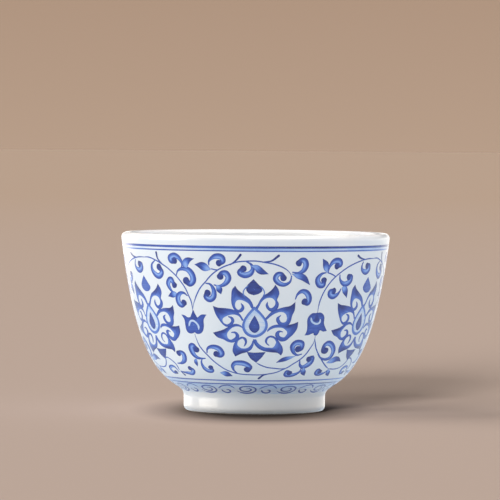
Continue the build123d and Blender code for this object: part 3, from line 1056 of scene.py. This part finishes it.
def make_paper():
    """The floor as a small disc in a wide ring, and a backdrop far behind."""
    count = 96
    turns = [2 * pi * step / count for step in range(count)]
    reach = PAPER_REACH
    disc, rim = ([(radius * cos(turn), radius * sin(turn), 0) for turn in turns]
                 for radius in (PAPER_UNDER_CUP, reach))
    around = [(step, (step + 1) % count, count + (step + 1) % count, count + step) for step in range(count)]
    backdrop = [(x * reach, reach, z * reach) for x, z in ((-1, -1), (1, -1), (1, 1), (-1, 1))]
    floor = floor_paper()
    # backdrop paper with painted shade, darker towards the top
    wall = toned_paper("backdrop_paper", "Z", 0.0, 0.5, BACKDROP_LOW, BACKDROP_HIGH)[0]
    return [paper("floor_under_cup", disc, [tuple(range(count))], floor, True),
            paper("floor", disc + rim, around, floor, False),
            paper("backdrop", backdrop, [(0, 1, 2, 3)], wall, False)]


def group_of(name, sheets, state):
    """Group for a light to reach, or to leave out."""
    group = bpy.data.collections.new(name)
    for sheet in sheets:
        group.objects.link(sheet)
    for member in group.collection_objects:
        member.light_linking.link_state = state
    return group


def aimed(name, light, place, reach):
    """Lamp that points at the middle of the cup and lights only its own group, or all but that group."""
    lamp = bpy.data.objects.new(name, light)
    lamp.location = place
    middle = Vector((0, 0, total_height * MM / 2))
    lamp.rotation_euler = (middle - Vector(place)).to_track_quat("-Z", "Y").to_euler()
    lamp.light_linking.receiver_collection = reach
    bpy.context.scene.collection.objects.link(lamp)


def softbox(name, place, width, height, power, colour, reach):
    light = bpy.data.lights.new(name, "AREA")
    light.shape = "RECTANGLE"
    light.size = width
    light.size_y = height
    light.energy = power
    light.color = colour
    aimed(name, light, place, reach)


def sunlight(name, towards, power, spread, reach):
    light = bpy.data.lights.new(name, "SUN")
    light.energy = power
    light.angle = radians(spread)
    aimed(name, light, towards, reach)


def make_lights(sheets):
    """Softboxes light the cup alone, and suns light the paper alone, the strongest low at the front."""
    cup_only = group_of("not_the_paper", sheets, "EXCLUDE")
    paper_only = group_of("the_paper", sheets, "INCLUDE")
    softbox("key_left", (-1.0, -0.15, 0.30), 0.8, 0.8, 7.6, (1.0, 0.93, 0.84), cup_only)
    softbox("glow_left", (-0.60, 0.75, 0.22), 0.7, 0.6, 1.5, (1.0, 0.9, 0.86), cup_only)
    softbox("fill_front", (0.3, -1.0, 1.5), 1.4, 1.2, 13.3, (1.0, 0.85, 0.74), cup_only)
    softbox("top_right", (0.6, -0.15, 1.35), 1.0, 1.0, 9.2, (1.0, 0.96, 0.94), cup_only)
    softbox("overhead_cup", (0.0, 0.1, 1.6), 1.8, 1.8, 14.0, (1.0, 1.0, 1.0), cup_only)
    softbox("back_top", (0.0, 1.1, 0.9), 1.4, 0.8, 2.6, (1.0, 0.8, 0.7), cup_only)
    sunlight("low_front", (-0.276, -0.961, 0.249), 7.3, 16, paper_only)
    sunlight("front_left", (-0.643, -0.766, 0.532), 1.85, 32, paper_only)
    sunlight("left", (-0.98, 0.20, 0.70), 2.0, 50, paper_only)


# Colours of the studio from straight down, 0, to straight up, 1, with a bright band at eye level
SKY_LOW, SKY_LEVEL, SKY_HIGH = (0.66, 0.765, 0.88), (1.40, 1.35, 1.27), (0.12, 0.12, 0.12)
SKY = [(0.0, SKY_LOW), (0.43, SKY_LOW), (0.47, SKY_LEVEL), (0.535, SKY_LEVEL), (0.60, SKY_HIGH),
       (1.0, SKY_HIGH)]


def make_sky():
    """Pale studio that shows in the glaze as bright edges."""
    world = bpy.data.worlds.new("studio")
    world.use_nodes = True
    look = Look(world.node_tree)
    height = look.along("Z", look.add("TexCoord")["Generated"])
    look.set(look.nodes["Background"], Color=look.ramp(look.share(height, -1.0, 1.0), SKY), Strength=1.0)
    bpy.context.scene.world = world


def make_camera():
    """Nearly level, from far off, with the slight roll of a hand-set tripod."""
    distance, eye_height, roll = 1.502, 0.0926, 0.43    # metres, metres and degrees
    target = Vector((-0.00173, 0, 0.0509))
    eye = Vector((target.x, -distance, eye_height))
    camera = bpy.data.objects.new("camera", bpy.data.cameras.new("camera"))
    camera.data.sensor_width = 36
    camera.data.lens = 341.2
    camera.data.clip_end = 60
    camera.location = eye
    look = (target - eye).to_track_quat("-Z", "Y")
    camera.rotation_euler = (look @ Euler((0, 0, radians(roll))).to_quaternion()).to_euler()
    bpy.context.scene.collection.objects.link(camera)
    bpy.context.scene.camera = camera


make_lights(make_paper())
make_sky()
make_camera()
bpy.context.scene.view_settings.view_transform = "Standard"
